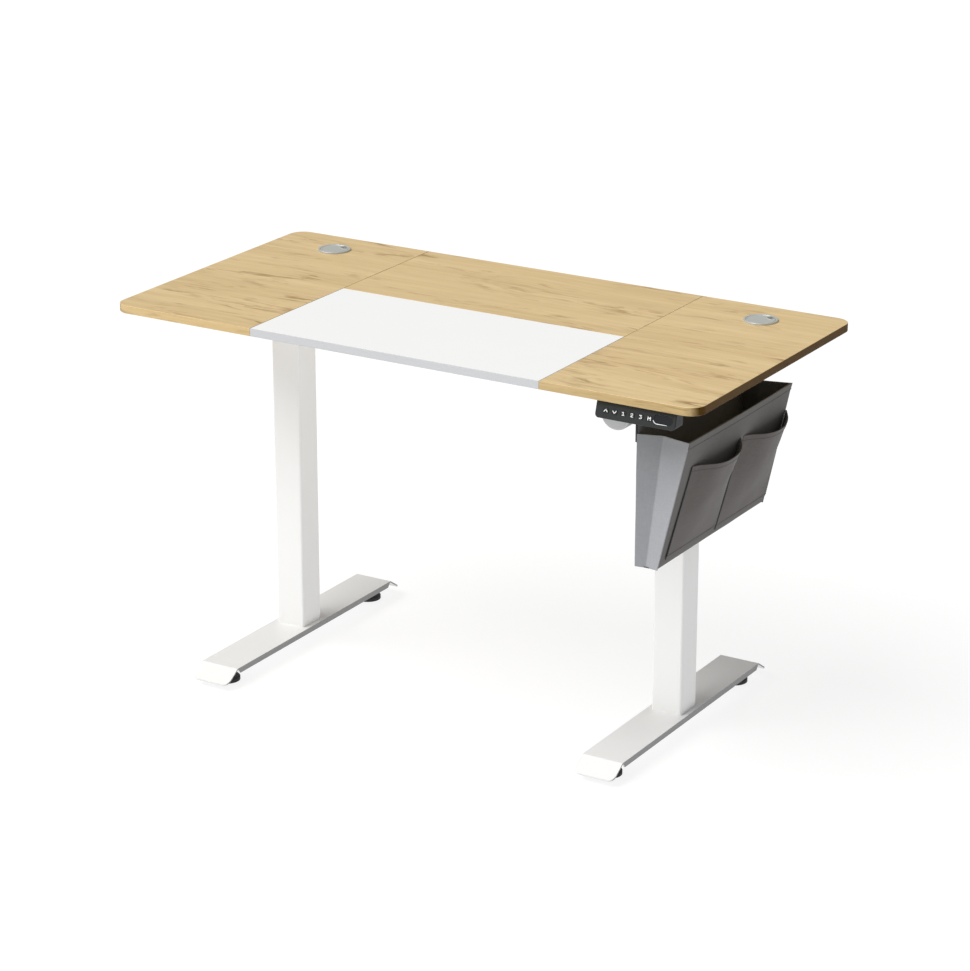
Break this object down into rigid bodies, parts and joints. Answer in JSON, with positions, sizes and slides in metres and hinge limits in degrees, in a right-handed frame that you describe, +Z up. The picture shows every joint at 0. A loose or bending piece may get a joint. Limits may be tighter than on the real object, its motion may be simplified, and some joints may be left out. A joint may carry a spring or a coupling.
{
  "type": "height adjustable standing desk",
  "caption": "Electric sit-stand desk: panelled oak and white top on two telescopic square columns with flat steel feet, handset, cable grommets and a hanging fabric side bag.",
  "frame": {"origin": "on the floor, under the middle of the tabletop", "axes": "+X along the desk to the bag's end, +Y to the back edge, +Z up"},
  "size_m": [1.2, 0.6, 0.7232],
  "materials": {
    "oak_board": "oak decor laminate, matt, on 15 mm particle board",
    "white_board": "white laminate, satin, on 15 mm particle board",
    "white_steel": "white powder coat, fine texture",
    "zinc_steel": "zinc plated",
    "dark_steel": "dark grey powder coat",
    "gear_steel": "machined and oiled",
    "cast_housing": "die cast, bead blasted",
    "motor_grey": "light grey paint, satin",
    "nut_bronze": "machined bronze",
    "beech": "fluted beech dowel",
    "silver_plastic": "metallic silver moulded plastic, satin",
    "white_plastic": "moulded nylon",
    "black_plastic": "fine texture",
    "key_black": "satin with a silver legend",
    "display_window": "smoked window",
    "circuit": "solder mask",
    "cable_black": "PVC sheath",
    "rubber_black": "matt",
    "felt_grey": "woven grey polyester with a black lining",
    "felt_dark": "woven warm grey polyester"
  },
  "bodies": {
    "base": {"outer_column_left": "white_steel", "outer_column_right": "white_steel", "column_sleeves": "white_plastic", "push_tubes": "zinc_steel", "lead_nuts": "nut_bronze", "foot_left": "white_steel", "foot_right": "white_steel", "foot_bolts": "zinc_steel"},
    "desk_top": {"panel_left": "oak_board", "panel_right": "oak_board", "panel_rear": "oak_board", "panel_front": "white_board", "panel_dowels": "beech", "joining_plates": "zinc_steel", "wood_screws": "zinc_steel", "grommet_liners": "silver_plastic", "side_bracket_left": "white_steel", "side_bracket_right": "white_steel", "cross_rails": "white_steel", "frame_bolts": "zinc_steel", "gearbox_left": "cast_housing", "gearbox_right": "cast_housing", "inner_column_left": "white_steel", "inner_column_right": "white_steel", "column_glides": "white_plastic", "shaft_bearings": "gear_steel", "motor_can": "motor_grey", "motor_end_cap": "motor_grey", "motor_gear_head": "cast_housing", "control_box": "black_plastic", "circuit_boards": "circuit", "mains_inlet": "black_plastic", "motor_cable": "cable_black", "handset_cable": "cable_black", "cable_clips": "white_plastic", "handset_case": "black_plastic", "handset_cover": "black_plastic", "handset_display": "display_window", "bag_body": "felt_grey", "bag_pocket_front": "felt_dark", "bag_pocket_rear": "felt_dark", "bag_hanger": "dark_steel", "bag_rivets": "zinc_steel"},
    "left_screw": {"lead_screw_left": "gear_steel"},
    "right_screw": {"lead_screw_right": "gear_steel"},
    "cross_shaft": {"drive_rod": "gear_steel", "rod_gears": "gear_steel"},
    "motor_rotor": {"motor_shaft": "gear_steel"},
    "grommet_cap_left": {"grommet_cap_left": "silver_plastic"},
    "grommet_cap_right": {"grommet_cap_right": "silver_plastic"},
    "button_up": {"button_up": "key_black"},
    "button_down": {"button_down": "key_black"},
    "button_1": {"button_1": "key_black"},
    "button_2": {"button_2": "key_black"},
    "button_3": {"button_3": "key_black"},
    "button_memory": {"button_memory": "key_black"},
    "glide_left_front": {"glide_left_front": "rubber_black"},
    "glide_left_rear": {"glide_left_rear": "rubber_black"},
    "glide_right_front": {"glide_right_front": "rubber_black"},
    "glide_right_rear": {"glide_right_rear": "rubber_black"}
  },
  "joints": [
    {"name": "lift", "type": "slide", "parent": "base", "child": "desk_top", "axis": [0, 0, 1], "range_m": [0, 0.48]},
    {"name": "left_screw_turn", "type": "hinge", "parent": "desk_top", "child": "left_screw", "pos_m": [-0.41, 0, 0.4], "axis": [0, 0, 1], "range_deg": [-2, 14402]},
    {"name": "right_screw_turn", "type": "hinge", "parent": "desk_top", "child": "right_screw", "pos_m": [0.41, 0, 0.4], "axis": [0, 0, 1], "range_deg": [-2, 14402]},
    {"name": "cross_shaft_turn", "type": "hinge", "parent": "desk_top", "child": "cross_shaft", "pos_m": [0, 0, 0.662], "axis": [1, 0, 0], "range_deg": [-8309.7, 2]},
    {"name": "motor_turn", "type": "hinge", "parent": "desk_top", "child": "motor_rotor", "pos_m": [0.41, -0.1, 0.662], "axis": [0, 1, 0], "range_deg": [-2, 14402]},
    {"name": "grommet_cap_left_turn", "type": "hinge", "parent": "desk_top", "child": "grommet_cap_left", "pos_m": [-0.458, 0.213, 0.72], "axis": [0, 0, 1], "continuous": true},
    {"name": "grommet_cap_right_turn", "type": "hinge", "parent": "desk_top", "child": "grommet_cap_right", "pos_m": [0.458, 0.213, 0.72], "axis": [0, 0, 1], "continuous": true},
    {"name": "button_up_press", "type": "slide", "parent": "desk_top", "child": "button_up", "axis": [0, 0.9502, -0.3116], "range_m": [0, 0.0008], "stiffness_N_per_m": 400, "springref_m": -0.001},
    {"name": "button_down_press", "type": "slide", "parent": "desk_top", "child": "button_down", "axis": [0, 0.9502, -0.3116], "range_m": [0, 0.0008], "stiffness_N_per_m": 400, "springref_m": -0.001},
    {"name": "button_1_press", "type": "slide", "parent": "desk_top", "child": "button_1", "axis": [0, 0.9502, -0.3116], "range_m": [0, 0.0008], "stiffness_N_per_m": 400, "springref_m": -0.001},
    {"name": "button_2_press", "type": "slide", "parent": "desk_top", "child": "button_2", "axis": [0, 0.9502, -0.3116], "range_m": [0, 0.0008], "stiffness_N_per_m": 400, "springref_m": -0.001},
    {"name": "button_3_press", "type": "slide", "parent": "desk_top", "child": "button_3", "axis": [0, 0.9502, -0.3116], "range_m": [0, 0.0008], "stiffness_N_per_m": 400, "springref_m": -0.001},
    {"name": "button_memory_press", "type": "slide", "parent": "desk_top", "child": "button_memory", "axis": [0, 0.9502, -0.3116], "range_m": [0, 0.0008], "stiffness_N_per_m": 400, "springref_m": -0.001},
    {"name": "glide_left_front_height", "type": "slide", "parent": "base", "child": "glide_left_front", "axis": [0, 0, -1], "range_m": [0, 0.008]},
    {"name": "glide_left_rear_height", "type": "slide", "parent": "base", "child": "glide_left_rear", "axis": [0, 0, -1], "range_m": [0, 0.008]},
    {"name": "glide_right_front_height", "type": "slide", "parent": "base", "child": "glide_right_front", "axis": [0, 0, -1], "range_m": [0, 0.008]},
    {"name": "glide_right_rear_height", "type": "slide", "parent": "base", "child": "glide_right_rear", "axis": [0, 0, -1], "range_m": [0, 0.008]}
  ],
  "couplings": [
    {"joint": "left_screw_turn", "follows": "lift", "rad_per_m": 523.6},
    {"joint": "right_screw_turn", "follows": "lift", "rad_per_m": 523.6},
    {"joint": "cross_shaft_turn", "follows": "lift", "rad_per_m": -302.08},
    {"joint": "motor_turn", "follows": "lift", "rad_per_m": 523.6}
  ]
}
